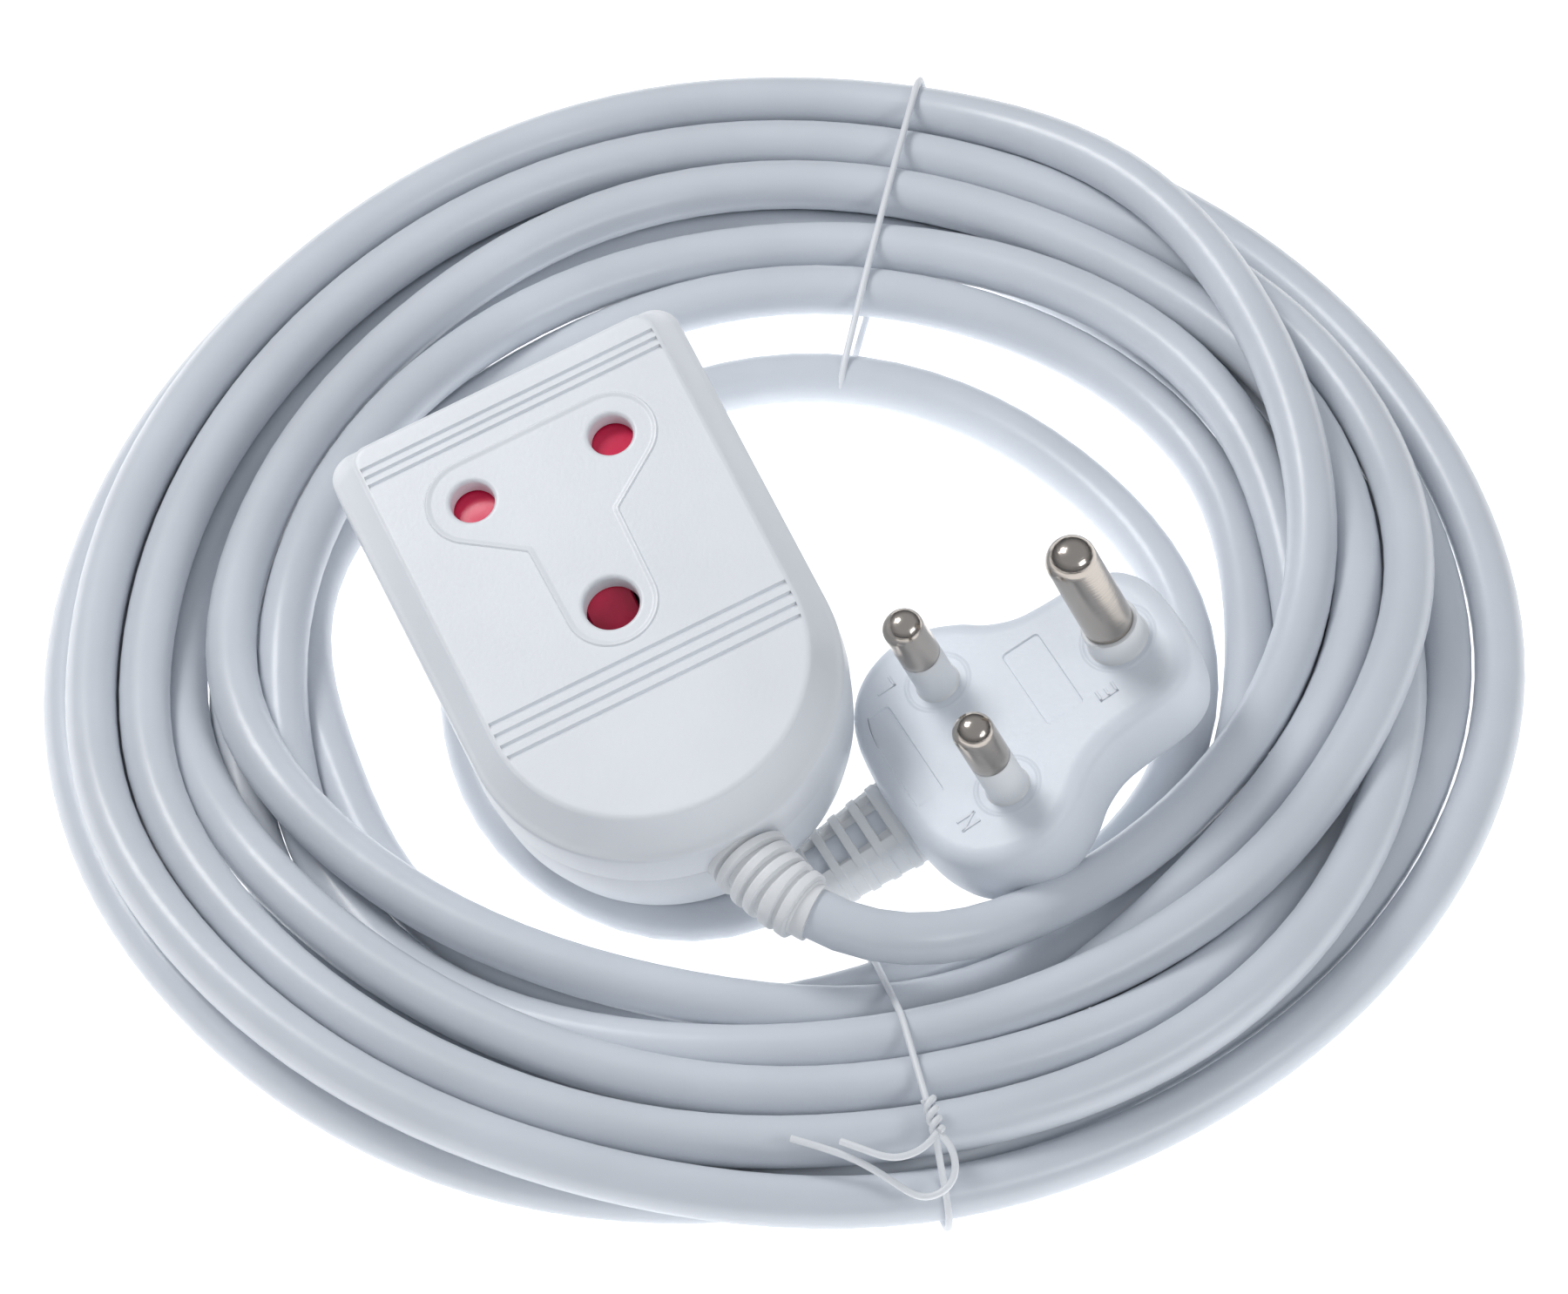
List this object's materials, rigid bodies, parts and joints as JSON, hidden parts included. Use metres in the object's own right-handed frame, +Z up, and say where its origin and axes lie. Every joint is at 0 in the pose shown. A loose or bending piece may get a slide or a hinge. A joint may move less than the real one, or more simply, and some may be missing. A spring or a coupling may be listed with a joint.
{
  "type": "extension cord",
  "caption": "Coiled extension cord: trailing socket with a sliding shutter, moulded plug with round pins, and a round flex held by two wire ties.",
  "frame": {"origin": "on the floor, under the middle of the box round the socket and the two ties", "axes": "+Z up from the floor; +Y from the bottom tie to the top tie, across the coil; +X to the plug side"},
  "size_m": [0.2506, 0.2516, 0.0659],
  "materials": {
    "shell_white": "moulded, satin",
    "carrier_grey": "moulded",
    "shutter_red": "glossy",
    "spring_steel": "drawn wire",
    "contact_brass": "plain",
    "screw_steel": "zinc plated",
    "boot_white": "soft moulded",
    "core_brown": "soft insulation",
    "core_blue": "soft insulation",
    "core_green": "soft insulation",
    "plug_white": "soft moulded, satin",
    "pin_nickel": "nickel plated, turned",
    "sleeve_white": "moulded",
    "flex_white": "soft extruded sheath",
    "tie_white": "thin coating on wire"
  },
  "bodies": {
    "cord_set": {"socket_top_cover": "shell_white", "socket_bottom_cover": "shell_white", "contact_carrier": "carrier_grey", "shutter_spring": "spring_steel", "live_contact": "contact_brass", "neutral_contact": "contact_brass", "earth_contact": "contact_brass", "terminal_screws": "contact_brass", "cover_screws": "screw_steel", "cord_clamp": "carrier_grey", "clamp_screws": "screw_steel", "socket_boot": "boot_white", "socket_live_core": "core_brown", "socket_neutral_core": "core_blue", "socket_earth_core": "core_green", "plug_body": "plug_white", "plug_bridge": "carrier_grey", "live_pin": "pin_nickel", "neutral_pin": "pin_nickel", "earth_pin": "pin_nickel", "live_pin_sleeve": "sleeve_white", "neutral_pin_sleeve": "sleeve_white", "earth_pin_collar": "sleeve_white", "plug_crimps": "contact_brass", "plug_live_core": "core_brown", "plug_neutral_core": "core_blue", "plug_earth_core": "core_green", "plug_relief": "plug_white", "socket_lead": "flex_white", "plug_lead": "flex_white", "cord_coil": "flex_white", "tie_top": "tie_white", "tie_bottom": "tie_white"},
    "shutter": {"shutter": "shutter_red"}
  },
  "joints": [
    {"name": "shutter_slide", "type": "slide", "parent": "cord_set", "child": "shutter", "axis": [-0.4131, 0.9029, 0.1187], "range_m": [0, 0.0086], "stiffness_N_per_m": 150, "springref_m": -0.003, "deforming": ["shutter_spring"]}
  ]
}
